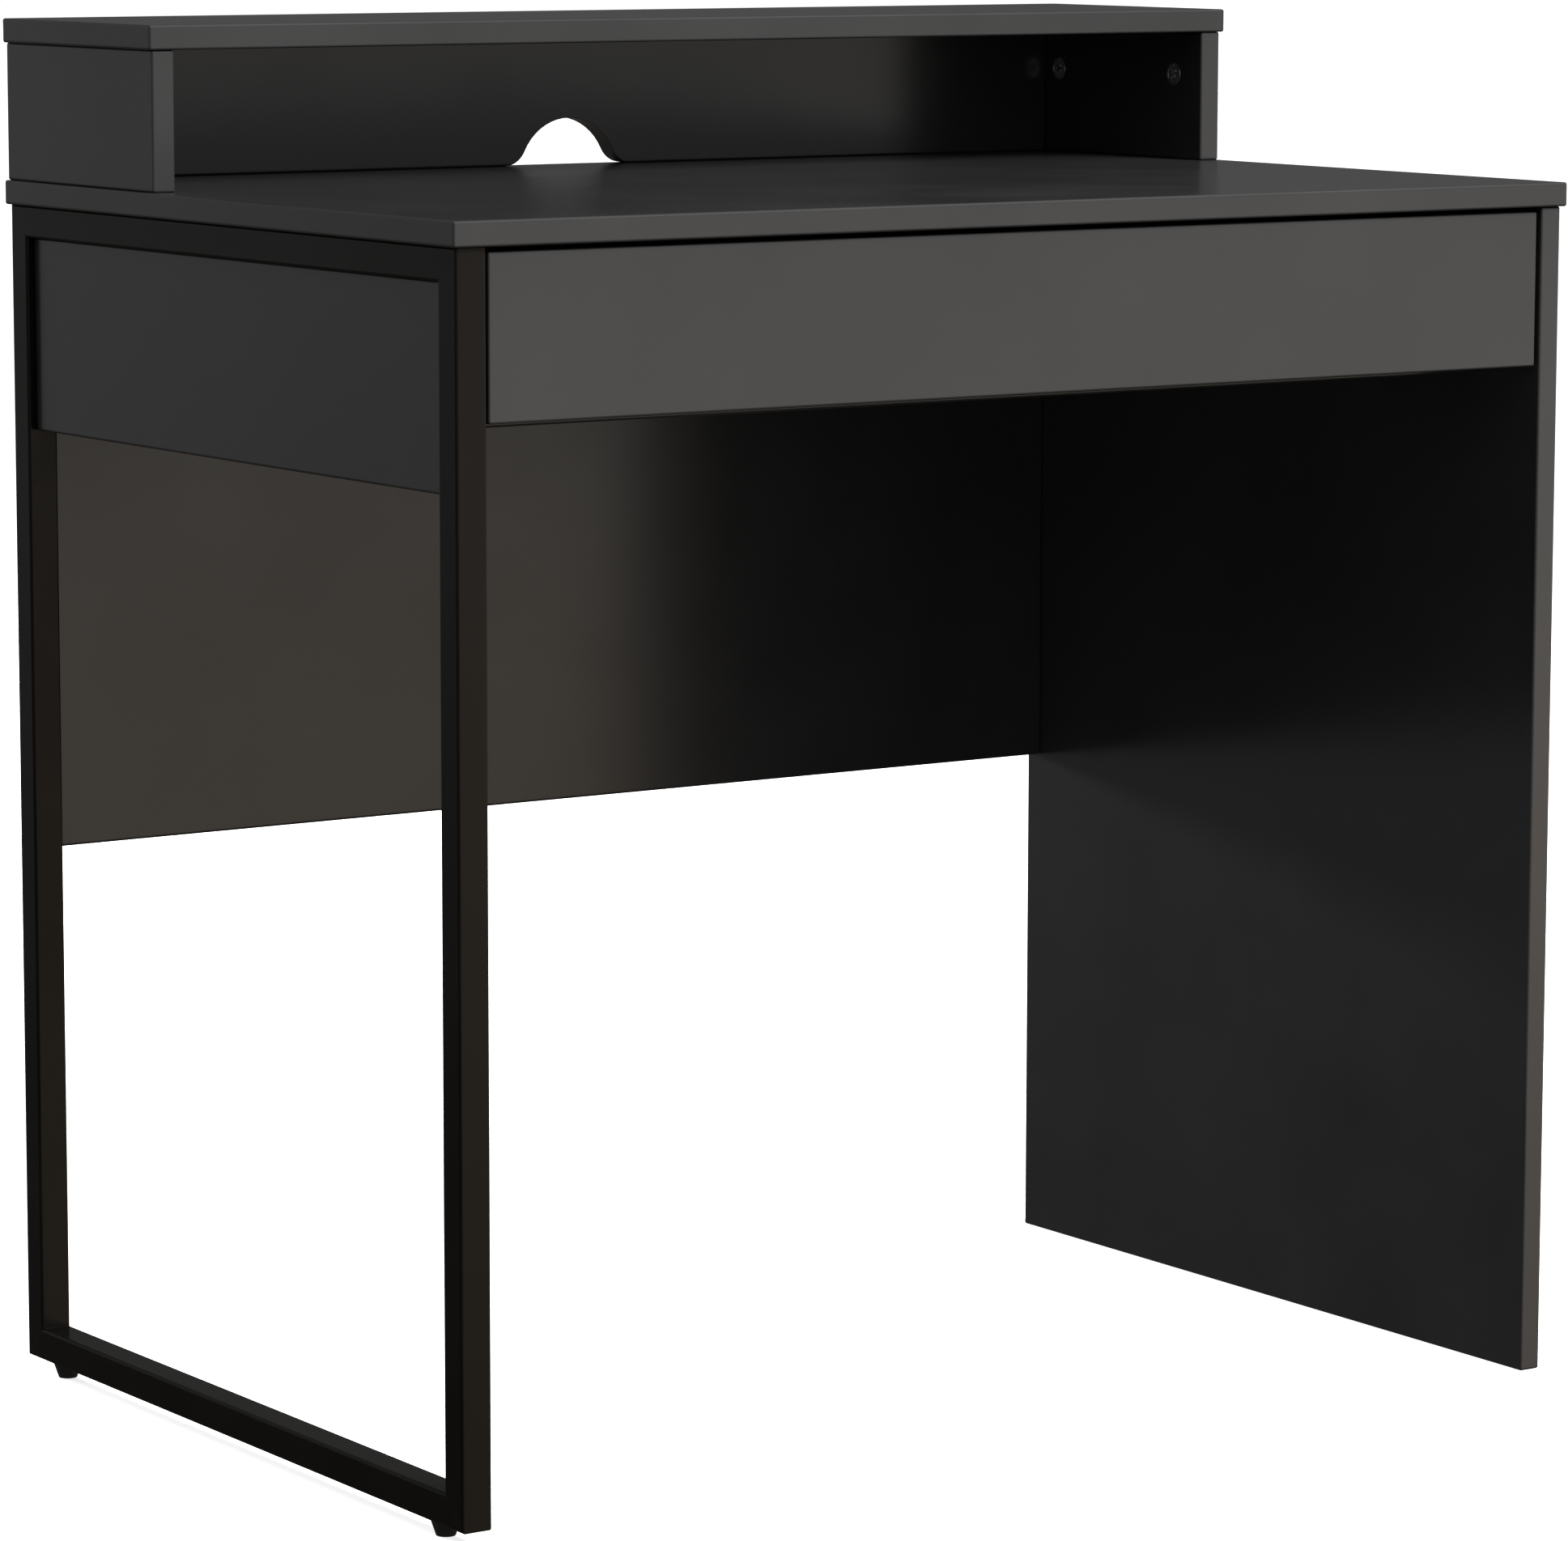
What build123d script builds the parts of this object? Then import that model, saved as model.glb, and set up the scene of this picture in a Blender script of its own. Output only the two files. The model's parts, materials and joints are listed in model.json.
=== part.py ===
from build123d import *
import os
from collections import defaultdict

# A writing desk: a desktop carried by a welded tube frame on the left and a full board on the
# right, one wide handleless drawer on roller runners, a modesty panel, and a low hutch.
# Millimetres. X runs left to right, Y front to back, Z up from the floor. The origin is on the
# floor, under the middle of the desktop.

# ---- driving dimensions -------------------------------------------------------------------
desk_width = 810.0
desk_depth = 540.0
desk_height = 757.0
board = 15.0                  # every laminated board
edge_round = 1.5              # rounding of the banded edges
seat_gap = 0.3                # between pieces that come close without a fit

hutch_clear_height = 85.0     # from the desktop to the underside of the hutch top
hutch_depth = 191.0
hutch_end_inset = 2.5         # hutch top past the hutch sides, at each end
hutch_front_inset = 2.0       # hutch top past the hutch sides, at the front

arch_height = 30.5            # cable cut-out in the hutch back
arch_crown_radius = 38.0
arch_half_width = 49.0        # to the toe of the flare
arch_flare_radius = 16.6

tube = 20.0                   # square tube of the left frame
tube_wall = 1.2
tube_corner = 1.8
frame_end_inset = 3.4         # tube outer face inside the desktop's end
frame_front_inset = 3.7
frame_back_inset = 1.3
foot_height = 9.0
foot_top_radius = 9.0
foot_bottom_radius = 5.8
foot_stem_radius = 4.0
foot_stem = 10.0
foot_setback = 35.0           # foot centre from the frame's front or back face

left_panel_height = 120.0     # board let into the frame under its top tube
left_panel_end_gap = 1.0      # to each leg
right_panel_inset = 3.0       # outer face inside the desktop's end, and front edge behind its front

modesty_height = 405.0
rail_depth = 100.0            # flat rail under the drawer
rail_setback = 61.0           # its front edge behind the desktop's front
rail_drop = 92.0              # its top below the desktop's underside

drawer_front_setback = 5.0
drawer_front_top_gap = 3.0
drawer_front_height = 96.5
drawer_front_end_gap = 2.0
drawer_box_depth = 400.0
drawer_box_height = 80.0
drawer_box_lift = 5.0         # underside of the box above the rail
bottom_sheet = 3.0            # hardboard sheet in the drawer
bottom_sheet_lift = 10.0      # its underside above the box's underside
groove_depth = 6.0
groove_side_clearance = 0.1
groove_end_clearance = 0.5

runner_space = 12.5           # from carcass to drawer side
runner_length = 400.0
runner_setback = 6.0          # runner's front end behind the drawer front's back face
runner_sheet = 1.2
runner_web_clearance = 0.8    # between a flange and the other member's web
roller_web_gap = 1.0          # between a roller and its own member's web
roller_rim = 0.6
roller_cutout_gap = 3.0       # top flange starts this far behind the front roller
track_lift = 1.5              # drawer member's track above the carcass channel
drawer_runner_height = 41.0   # above the box's underside
drawer_travel = 300.0
roller_radius = 10.0
roller_width = 6.0
roller_clearance = 0.2        # to what it rolls on
roller_headroom = 0.6         # under the channel's top flange
roller_bore_clearance = 0.05
roller_end_setback = 14.0     # roller axle from its member's end
rivet_radius = 2.0
rivet_head_radius = 3.4
rivet_head = 1.0
rivet_side_clearance = 0.2
stop_height = 3.0
stop_length = 2.0
runner_screw_radius = 1.75
runner_screw_head_radius = 3.5
runner_screw_head = 1.5
runner_screw_length = 10.0
runner_screw_end = 45.0       # end screws from the carcass runner's ends

cam_radius = 7.4
cam_bore_radius = 7.5
cam_depth = 12.5
cam_recess = 0.2
cam_setback = 28.5            # cam centre from the edge it pulls up
cam_slot = (8.0, 1.8, 2.0)    # length, width and depth of each arm of the cross slot
cam_cavity_radius = 3.6
bolt_head_radius = 3.2
bolt_head = 2.8
bolt_neck_radius = 1.9
bolt_neck_end = 7.9           # from the cam's centre
bolt_shank_radius = 3.9
bolt_hole_radius = 4.0
bolt_thread_radius = 2.5
bolt_thread = 10.5
bolt_thread_hole = 11.0
bolt_thread_clearance = 0.05
dowel_radius = 4.0
dowel_length = 30.0
dowel_in_face = 9.5
dowel_hole_spare = 0.5
hutch_cam_end = 30.0          # hutch cams from the hutch side's front and back edges
desktop_fixing_end = 70.0     # desktop's side fixings from its front and back edges
desktop_dowel_end = 140.0     # its side dowels from the same edges
modesty_cam_end = 155.0       # modesty panel's upper cams from the desktop's ends
modesty_dowel_offset = 100.0  # its upper dowels from the middle of the desk
modesty_cam_lift = 63.0       # its lower end cams above its lower edge
modesty_cam_drop = 92.0       # its upper end cams below the desktop
rail_dowel_end = 20.0         # rail dowels from its front and back edges
left_panel_screw_end = 150.0  # left panel's top screws from the desktop's front and back
drawer_cam_drop = 20.0        # drawer cams below the box's top
drawer_dowel_lift = 25.0      # drawer dowels above the box's underside

top_screw_radius = 2.5        # frame to desktop
top_screw_head_radius = 5.0
top_screw_head = 2.5
top_screw_grip = 11.0         # length held in the desktop's face
edge_screw_grip = 22.0        # length held in the left panel's edge
access_radius = 6.0           # driver's hole in the tube's far wall
long_screw_radius = 3.5       # hutch screws, up through the desktop
long_screw_head_radius = 5.0
long_screw_head = 4.0
long_screw_length = 50.0
back_screw_radius = 2.0       # drawer sides into the drawer back
back_screw_head_radius = 4.0
back_screw_head = 2.5
back_screw_length = 40.0
back_screw_drops = (12.0, 30.0)
tab_thickness = 2.0           # welded tabs that the left panel is screwed to
tab_height = 20.0
tab_on_panel = 20.0
tab_lift = 5.0                # tab above the left panel's lower edge
insert_flange_radius = 4.8
insert_flange = 1.2
insert_barrel_radius = 4.0
insert_barrel = 10.0

# ---- places worked out from them ------------------------------------------------------------
left, right = -desk_width / 2, desk_width / 2
front, back = -desk_depth / 2, desk_depth / 2
under_top = desk_height - board
hutch_under = desk_height + hutch_clear_height
hutch_front = back - hutch_depth

frame_outer = left + frame_end_inset
frame_inner = frame_outer + tube
frame_front = front + frame_front_inset
frame_back = back - frame_back_inset
leg_front_inside = frame_front + tube
leg_back_inside = frame_back - tube
frame_floor = foot_height
left_panel_top = under_top - tube
left_panel_bottom = left_panel_top - left_panel_height

right_inner = right - right_panel_inset - board
modesty_front = back - board
modesty_left = frame_inner + insert_flange
modesty_bottom = under_top - modesty_height

rail_top = under_top - rail_drop
rail_bottom = rail_top - board
rail_front = front + rail_setback

face_y = front + drawer_front_setback
box_front = face_y + board
box_back = box_front + drawer_box_depth
box_bottom = rail_top + drawer_box_lift
box_top = box_bottom + drawer_box_height
face_top = under_top - drawer_front_top_gap
face_bottom = face_top - drawer_front_height
box_left = frame_inner + runner_space
box_right = right_inner - runner_space
sheet_bottom = box_bottom + bottom_sheet_lift

channel_height = 2 * runner_sheet + 2 * roller_radius + roller_clearance + roller_headroom
channel_top = box_bottom + channel_height
track_bottom = channel_top + track_lift
channel_front = box_front + runner_setback
channel_back = channel_front + runner_length
channel_mid = box_bottom + channel_height / 2
fixed_axle_y = channel_front + roller_end_setback
fixed_axle_z = track_bottom - roller_clearance - roller_radius
moving_axle_y = box_back - roller_end_setback
moving_axle_z = box_bottom + runner_sheet + roller_clearance + roller_radius
drawer_web = runner_space - runner_sheet
flange_reach = drawer_web - runner_web_clearance

X, Y, Z = Vector(1, 0, 0), Vector(0, 1, 0), Vector(0, 0, 1)

boards = {}                   # one solid each, before its holes are cut
holes = defaultdict(list)     # what is cut out of each of them
hardware = defaultdict(list)  # identical pieces that share a node


# ---- shapes ---------------------------------------------------------------------------------
def block(x, y, z):
    """A plain box between a low and a high value on each axis, in either order."""
    size = [abs(b - a) for a, b in (x, y, z)]
    centre = [(a + b) / 2 for a, b in (x, y, z)]
    return Pos(*centre) * Box(*size)


def rounded_board(x, y, z):
    """A laminated board with every banded edge rounded."""
    plain = block(x, y, z)
    return fillet(plain.edges(), edge_round)


def rod(start, along, radius, length):
    """A cylinder that starts at a point and runs along a direction."""
    seat = Plane(origin=start, z_dir=along)
    return seat.location * Cylinder(radius, length, align=(Align.CENTER, Align.CENTER, Align.MIN))


def countersunk_screw(start, along, radius, head_radius, head, length):
    """A screw whose flat head lies flush at the start point."""
    seat = Plane(origin=start, z_dir=along)
    cone = seat.location * Cone(head_radius, radius, head, align=(Align.CENTER, Align.CENTER, Align.MIN))
    return cone + rod(start + along * head, along, radius, length - head)


def pan_screw(seat, along, radius, head_radius, head, length):
    """A screw whose head stands on a surface and whose shank goes into it."""
    dome = rod(seat - along * head, along, head_radius, head)
    rim = dome.edges().filter_by(GeomType.CIRCLE).sort_by(lambda e: (e.center() - seat).dot(along))[0]
    return fillet([rim], head / 2) + rod(seat, along, radius, length)


# ---- joints between boards --------------------------------------------------------------------
def cam_joint(housed, mating, centre, into, toward, cams, bolts, thread_hole=True):
    """A round cam let into one board's face, and its bolt, which pulls up the mating piece."""
    bolt_mid = centre + into * (board / 2)
    edge = bolt_mid + toward * cam_setback
    holes[housed].append(rod(centre, into, cam_bore_radius, cam_depth))
    holes[housed].append(rod(bolt_mid, toward, bolt_hole_radius, cam_setback))
    if thread_hole:
        hole_radius = bolt_thread_radius + bolt_thread_clearance
        holes[mating].append(rod(edge, toward, hole_radius, bolt_thread_hole))

    disc = rod(centre + into * cam_recess, into, cam_radius, cam_depth - cam_recess)
    length, width, depth = cam_slot
    across = into.cross(toward)
    for arm in (toward, across):
        slot_plane = Plane(origin=centre + into * cam_recess, x_dir=arm, z_dir=into)
        disc -= slot_plane.location * Box(length, width, depth * 2)
    cavity_start = bolt_mid - toward * (bolt_head / 2 + cam_cavity_radius - bolt_head_radius)
    disc -= rod(cavity_start, toward, cam_cavity_radius, 2 * cam_radius)
    hardware[cams].append(disc)

    head = rod(bolt_mid - toward * (bolt_head / 2), toward, bolt_head_radius, bolt_head)
    neck = rod(bolt_mid, toward, bolt_neck_radius, bolt_neck_end)
    shank = rod(bolt_mid + toward * bolt_neck_end, toward, bolt_shank_radius, cam_setback - bolt_neck_end)
    thread = rod(edge, toward, bolt_thread_radius, bolt_thread)
    hardware[bolts].append(head + neck + shank + thread)


def dowel_joint(face_board, edge_board, mouth, into_face, group):
    """A glued wooden dowel: a short hole in one board's face, a long one in the other's edge."""
    in_edge = dowel_length - dowel_in_face
    holes[face_board].append(rod(mouth, into_face, dowel_radius, dowel_in_face + dowel_hole_spare))
    holes[edge_board].append(rod(mouth, into_face * -1, dowel_radius, in_edge + dowel_hole_spare))
    pin = rod(mouth - into_face * in_edge, into_face, dowel_radius, dowel_length)
    hardware[group].append(pin)


# ---- desktop, side board, modesty panel, rail ---------------------------------------------------
def carcass_boards():
    boards["desktop"] = rounded_board((left, right), (front, back), (under_top, desk_height))
    boards["right_side_panel"] = rounded_board(
        (right_inner, right_inner + board), (front + right_panel_inset, back), (0, under_top))
    boards["modesty_panel"] = rounded_board(
        (modesty_left, right_inner), (modesty_front, back), (modesty_bottom, under_top))
    boards["left_side_panel"] = rounded_board(
        (frame_inner - board, frame_inner),
        (leg_front_inside + left_panel_end_gap, leg_back_inside - left_panel_end_gap),
        (left_panel_bottom, left_panel_top))
    boards["drawer_rail"] = rounded_board(
        (frame_inner, right_inner), (rail_front, rail_front + rail_depth), (rail_bottom, rail_top))


def carcass_joints():
    cams, bolts, pins = "carcass_cams", "carcass_cam_bolts", "carcass_dowels"
    right_mid = right_inner + board / 2
    modesty_mid = modesty_front + board / 2
    for y in (front + desktop_fixing_end, back - desktop_fixing_end):
        centre = Vector(right_inner, y, under_top - cam_setback)
        cam_joint("right_side_panel", "desktop", centre, X, Z, cams, bolts)
    for y in (front + desktop_dowel_end, back - desktop_dowel_end):
        dowel_joint("desktop", "right_side_panel", Vector(right_mid, y, under_top), Z, pins)

    for sign in (-1, 1):
        centre = Vector(sign * (right - modesty_cam_end), back, under_top - cam_setback)
        cam_joint("modesty_panel", "desktop", centre, Y * -1, Z, cams, bolts)
        mouth = Vector(sign * modesty_dowel_offset, modesty_mid, under_top)
        dowel_joint("desktop", "modesty_panel", mouth, Z, pins)

    low, high = modesty_bottom + modesty_cam_lift, under_top - modesty_cam_drop
    for z in (low, high):
        centre = Vector(right_inner - cam_setback, back, z)
        cam_joint("modesty_panel", "right_side_panel", centre, Y * -1, X, cams, bolts)
        centre = Vector(modesty_left + cam_setback, back, z)
        cam_joint("modesty_panel", "frame_leg_back", centre, Y * -1, X * -1, cams, bolts, thread_hole=False)
        threaded_insert(Vector(frame_inner, modesty_mid, z))
    mouth = Vector(right_inner, modesty_mid, (low + high) / 2)
    dowel_joint("right_side_panel", "modesty_panel", mouth, X, pins)

    rail_mid_y = rail_front + rail_depth / 2
    rail_mid_z = rail_bottom + board / 2
    for name, x, out in (("left_side_panel", frame_inner, X * -1), ("right_side_panel", right_inner, X)):
        centre = Vector(x, rail_mid_y, rail_bottom) - out * cam_setback
        cam_joint("drawer_rail", name, centre, Z, out, cams, bolts)
        for y in (rail_front + rail_dowel_end, rail_front + rail_depth - rail_dowel_end):
            dowel_joint(name, "drawer_rail", Vector(x, y, rail_mid_z), out, pins)


def threaded_insert(mouth):
    """A flanged nut pulled into the back leg's wall, for a cam bolt of the modesty panel."""
    holes["frame_leg_back"].append(rod(mouth, X * -1, insert_barrel_radius, tube_wall))
    flange = rod(mouth, X, insert_flange_radius, insert_flange)
    barrel = rod(mouth, X * -1, insert_barrel_radius, insert_barrel)
    bore_radius = bolt_thread_radius + bolt_thread_clearance
    bore = rod(mouth + X * insert_flange, X * -1, bore_radius, insert_flange + insert_barrel)
    hardware["frame_thread_inserts"].append(flange + barrel - bore)


# ---- hutch --------------------------------------------------------------------------------------
def hutch():
    outer = right - hutch_end_inset
    inner = outer - board
    side_front = hutch_front + hutch_front_inset
    back_front = back - board
    boards["hutch_top"] = rounded_board(
        (left, right), (hutch_front, back), (hutch_under, hutch_under + board))
    for name, sign in (("hutch_side_left", -1), ("hutch_side_right", 1)):
        boards[name] = rounded_board(
            (sign * inner, sign * outer), (side_front, back), (desk_height, hutch_under))
        mid = sign * (inner + board / 2)
        for y in (side_front + hutch_cam_end, back - hutch_cam_end):
            centre = Vector(sign * inner, y, hutch_under - cam_setback)
            cam_joint(name, "hutch_top", centre, X * sign, Z, "hutch_cams", "hutch_cam_bolts")
            hutch_screw(name, Vector(mid, y, under_top))
        middle = Vector(mid, (side_front + back) / 2, hutch_under)
        dowel_joint("hutch_top", name, middle, Z, "hutch_dowels")
        mouth = Vector(sign * inner, back_front + board / 2, desk_height + hutch_clear_height / 2)
        dowel_joint(name, "hutch_back", mouth, X * sign, "hutch_dowels")

    boards["hutch_back"] = rounded_board((-inner, inner), (back_front, back), (desk_height, hutch_under))
    holes["hutch_back"].append(cable_arch(back_front, board))
    for sign in (-1, 1):
        hutch_screw("hutch_back", Vector(sign * inner / 2, back_front + board / 2, under_top))


def hutch_screw(held, head_seat):
    """A long screw up through the desktop into the lower edge of a hutch board."""
    shape = (long_screw_radius, long_screw_head_radius, long_screw_head, long_screw_length)
    screw = countersunk_screw(head_seat, Z, *shape)
    holes["desktop"].append(screw)
    holes[held].append(screw)
    hardware["hutch_screws"].append(screw)


def cable_arch(y, depth):
    """The bell-shaped cut-out: a crown arc that flares into the desktop by a hollow arc each side."""
    crown = Vector(0, desk_height + arch_height - arch_crown_radius)
    flare = Vector(arch_half_width, desk_height + arch_flare_radius)
    reach = (flare - crown).length
    join = crown + (flare - crown) * (arch_crown_radius / reach)
    toe = Vector(arch_half_width, desk_height)
    hollow_mid = flare + (toe + join - flare * 2).normalized() * arch_flare_radius

    def on_face(point, side):
        return (side * point.X, y, point.Y)

    top = (0, y, desk_height + arch_height)
    outline = [
        Line(on_face(toe, -1), on_face(toe, 1)),
        ThreePointArc(on_face(toe, 1), on_face(hollow_mid, 1), on_face(join, 1)),
        ThreePointArc(on_face(join, 1), top, on_face(join, -1)),
        ThreePointArc(on_face(join, -1), on_face(hollow_mid, -1), on_face(toe, -1)),
    ]
    face = make_face(outline)
    return extrude(face, amount=depth, dir=(0, 1, 0))


# ---- left frame -----------------------------------------------------------------------------------
def frame():
    """Four square tubes, mitred and welded into a closed rectangle."""
    y, z = (frame_front, frame_back), (frame_floor, under_top)
    outer = [(y[0], z[0]), (y[1], z[0]), (y[1], z[1]), (y[0], z[1])]
    inner = [(y[0] + tube, z[0] + tube), (y[1] - tube, z[0] + tube),
             (y[1] - tube, z[1] - tube), (y[0] + tube, z[1] - tube)]
    members = [
        ("frame_bottom_tube", Axis.Y, y, (z[0], z[0] + tube)),
        ("frame_leg_back", Axis.Z, (y[1] - tube, y[1]), z),
        ("frame_top_tube", Axis.Y, y, (z[1] - tube, z[1])),
        ("frame_leg_front", Axis.Z, (y[0], y[0] + tube), z),
    ]
    for i, (name, along, y_span, z_span) in enumerate(members):
        j = (i + 1) % len(members)
        mitre = [outer[i], outer[j], inner[j], inner[i]]
        outline = Polyline([(frame_outer, *point) for point in mitre], close=True)
        prism = extrude(make_face(outline), amount=tube, dir=(1, 0, 0))
        boards[name] = hollow_tube(y_span, z_span, along) & prism


def hollow_tube(y, z, along):
    x = (frame_outer, frame_inner)
    skin = fillet(block(x, y, z).edges().filter_by(along), tube_corner)
    spans = []
    for axis, (low, high) in ((Axis.X, x), (Axis.Y, y), (Axis.Z, z)):
        wall = 0 if axis == along else tube_wall
        spans.append((low + wall, high - wall))
    core = fillet(block(*spans).edges().filter_by(along), tube_corner - tube_wall)
    return skin - core


def tube_screw(group, held_in, start, along, grip):
    """A screw put in through a driver's hole in the top tube, with its head inside the tube."""
    seat = start + along * (tube - tube_wall)
    screw = pan_screw(seat, along, top_screw_radius, top_screw_head_radius, top_screw_head, tube_wall + grip)
    hardware[group].append(screw)
    holes["frame_top_tube"] += [screw, rod(start, along, access_radius, tube_wall)]
    holes[held_in].append(screw)


def frame_fittings():
    tube_mid = frame_outer + tube / 2
    panel_mid = frame_inner - board / 2
    for y in (front + desktop_fixing_end, 0, back - desktop_fixing_end):
        tube_screw("frame_top_screws", "desktop", Vector(tube_mid, y, left_panel_top), Z, top_screw_grip)
    for y in (front + left_panel_screw_end, back - left_panel_screw_end):
        start = Vector(panel_mid, y, under_top)
        tube_screw("left_panel_screws", "left_side_panel", start, Z * -1, edge_screw_grip)

    tab_on_leg = modesty_front - seat_gap - leg_back_inside
    z = (left_panel_bottom + tab_lift, left_panel_bottom + tab_lift + tab_height)
    for leg_face, inward in ((leg_front_inside, 1), (leg_back_inside, -1)):
        far = leg_face + inward * tab_on_panel
        plate = block((frame_inner, frame_inner + tab_thickness), (leg_face - inward * tab_on_leg, far), z)
        seat = Vector(frame_inner + tab_thickness, far - inward * tab_on_panel / 2, (z[0] + z[1]) / 2)
        screw = pan_screw(seat, X * -1, runner_screw_radius, runner_screw_head_radius,
                          runner_screw_head, tab_thickness + runner_screw_length)
        hardware["frame_tabs"].append(plate - screw)
        hardware["tab_screws"].append(screw)
        holes["left_side_panel"].append(screw)

    for y in (frame_front + foot_setback, frame_back - foot_setback):
        floor_point = Vector(tube_mid, y, 0)
        cone = Pos(*floor_point) * Cone(
            foot_bottom_radius, foot_top_radius, foot_height, align=(Align.CENTER, Align.CENTER, Align.MIN))
        stem = rod(floor_point + Z * foot_height, Z, foot_stem_radius, foot_stem)
        hardware["frame_feet"].append(cone + stem)
        holes["frame_bottom_tube"].append(rod(floor_point + Z * foot_height, Z, foot_stem_radius, tube_wall))


# ---- drawer -----------------------------------------------------------------------------------------
def drawer_box():
    boards["drawer_front"] = rounded_board(
        (frame_inner + drawer_front_end_gap, right_inner - drawer_front_end_gap),
        (face_y, box_front), (face_bottom, face_top))
    height = (box_bottom, box_top)
    inside = (box_left + board, box_right - board)
    boards["drawer_back"] = rounded_board(inside, (box_back - board, box_back), height)
    for name, outer, inward in (("drawer_side_left", box_left, X), ("drawer_side_right", box_right, X * -1)):
        side_x = (outer, outer + inward.X * board)
        boards[name] = rounded_board(side_x, (box_front, box_back), height)
        mid = outer + inward.X * board / 2
        centre = Vector(side_x[1], box_front + cam_setback, box_top - drawer_cam_drop)
        cam_joint(name, "drawer_front", centre, inward * -1, Y * -1, "drawer_cams", "drawer_cam_bolts")
        mouth = Vector(mid, box_front, box_bottom + drawer_dowel_lift)
        dowel_joint("drawer_front", name, mouth, Y * -1, "drawer_dowels")
        for drop in back_screw_drops:
            head = Vector(outer, box_back - board / 2, box_top - drop)
            screw = countersunk_screw(
                head, inward, back_screw_radius, back_screw_head_radius, back_screw_head, back_screw_length)
            hardware["drawer_back_screws"].append(screw)
            holes[name].append(screw)
            holes["drawer_back"].append(screw)

    held = groove_depth - groove_end_clearance
    x = (inside[0] - held, inside[1] + held)
    y = (box_front - held, box_back - board + held)
    boards["drawer_bottom"] = block(x, y, (sheet_bottom, sheet_bottom + bottom_sheet))
    groove = block(
        (inside[0] - groove_depth, inside[1] + groove_depth),
        (box_front - groove_depth, box_back - board + groove_depth),
        (sheet_bottom - groove_side_clearance, sheet_bottom + bottom_sheet + groove_side_clearance))
    for name in ("drawer_front", "drawer_back", "drawer_side_left", "drawer_side_right"):
        holes[name].append(groove)


# ---- roller runners -----------------------------------------------------------------------------------
def runner_pair(side, wall, inward):
    """One side's runner. Distances across it are counted from the carcass wall to the drawer."""
    def across(near, far):
        return (wall + inward * near, wall + inward * far)

    def on_channel(near, far, y, z):
        boards[f"carcass_runner_{side}"] += block(across(near, far), y, z)

    length, floor = (channel_front, channel_back), (box_bottom, box_bottom + runner_sheet)
    boards[f"carcass_runner_{side}"] = block(across(0, runner_sheet), length, (box_bottom, channel_top))
    on_channel(0, flange_reach, length, floor)
    behind_roller = fixed_axle_y + roller_radius + roller_cutout_gap
    on_channel(0, flange_reach, (behind_roller, channel_back), (channel_top - runner_sheet, channel_top))
    rest_stop = moving_axle_y + roller_radius + seat_gap
    out_stop = moving_axle_y - drawer_travel - roller_radius - seat_gap - stop_length
    for y in (rest_stop, out_stop):
        on_channel(0, flange_reach, (y, y + stop_length), (floor[1], floor[1] + stop_height))

    lip_bottom, web_top = box_bottom - runner_sheet, box_bottom + drawer_runner_height
    lip_far, track_top = runner_space + board, track_bottom + runner_sheet
    track_near = runner_sheet + runner_web_clearance
    section = [
        (drawer_web, lip_bottom), (lip_far, lip_bottom), (lip_far, box_bottom), (runner_space, box_bottom),
        (runner_space, web_top), (drawer_web, web_top), (drawer_web, track_top), (track_near, track_top),
        (track_near, track_bottom), (drawer_web, track_bottom),
    ]
    outline = Polyline([(wall + inward * u, box_front, z) for u, z in section], close=True)
    boards[f"drawer_runner_{side}"] = extrude(make_face(outline), amount=drawer_box_depth, dir=(0, 1, 0))
    runner_rollers(side, wall, X * inward)
    runner_screws(side, wall, X * inward)


def runner_rollers(side, wall, out):
    """The roller fixed at the channel's front, and the one that travels at the track's back end."""
    near = runner_sheet + roller_web_gap
    axle = Vector(wall, fixed_axle_y, fixed_axle_z)
    head = near + roller_width + rivet_side_clearance
    boards[f"front_roller_{side}"] = roller(axle + out * near, out)
    rivet(f"carcass_runner_{side}", "carcass_rivets", axle, out, (0, head), head)

    near = drawer_web - roller_web_gap - roller_width
    axle = Vector(wall, moving_axle_y, moving_axle_z)
    head = near - rivet_side_clearance - rivet_head
    boards[f"rear_roller_{side}"] = roller(axle + out * near, out)
    rivet(f"drawer_runner_{side}", "drawer_rivets", axle, out, (head, runner_space), head)


def runner_screws(side, wall, out):
    carcass_board = "left_side_panel" if side == "left" else "right_side_panel"
    middle = (channel_front + channel_back) / 2
    for y in (channel_front + runner_screw_end, middle, channel_back - runner_screw_end):
        seat = Vector(wall, y, channel_mid) + out * runner_sheet
        runner_screw(seat, out * -1, f"carcass_runner_{side}", carcass_board, "carcass_runner_screws")
    track_top = track_bottom + runner_sheet
    screw_z = (track_top + box_bottom + drawer_runner_height) / 2
    middle = (box_front + box_back) / 2
    for y in (box_front + 2 * runner_screw_end, middle, box_back - runner_screw_end):
        seat = Vector(wall, y, screw_z) + out * drawer_web
        runner_screw(seat, out, f"drawer_runner_{side}", f"drawer_side_{side}", "drawer_runner_screws")


def runner_screw(seat, along, member, held_in, group):
    screw = pan_screw(seat, along, runner_screw_radius, runner_screw_head_radius,
                      runner_screw_head, runner_sheet + runner_screw_length)
    hardware[group].append(screw)
    holes[member].append(screw)
    holes[held_in].append(screw)


def roller(start, out):
    """A nylon roller with softened rims and a running bore."""
    wheel = rod(start, out, roller_radius, roller_width)
    wheel = fillet(wheel.edges().filter_by(GeomType.CIRCLE), roller_rim)
    return wheel - rod(start, out, rivet_radius + roller_bore_clearance, roller_width)


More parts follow.
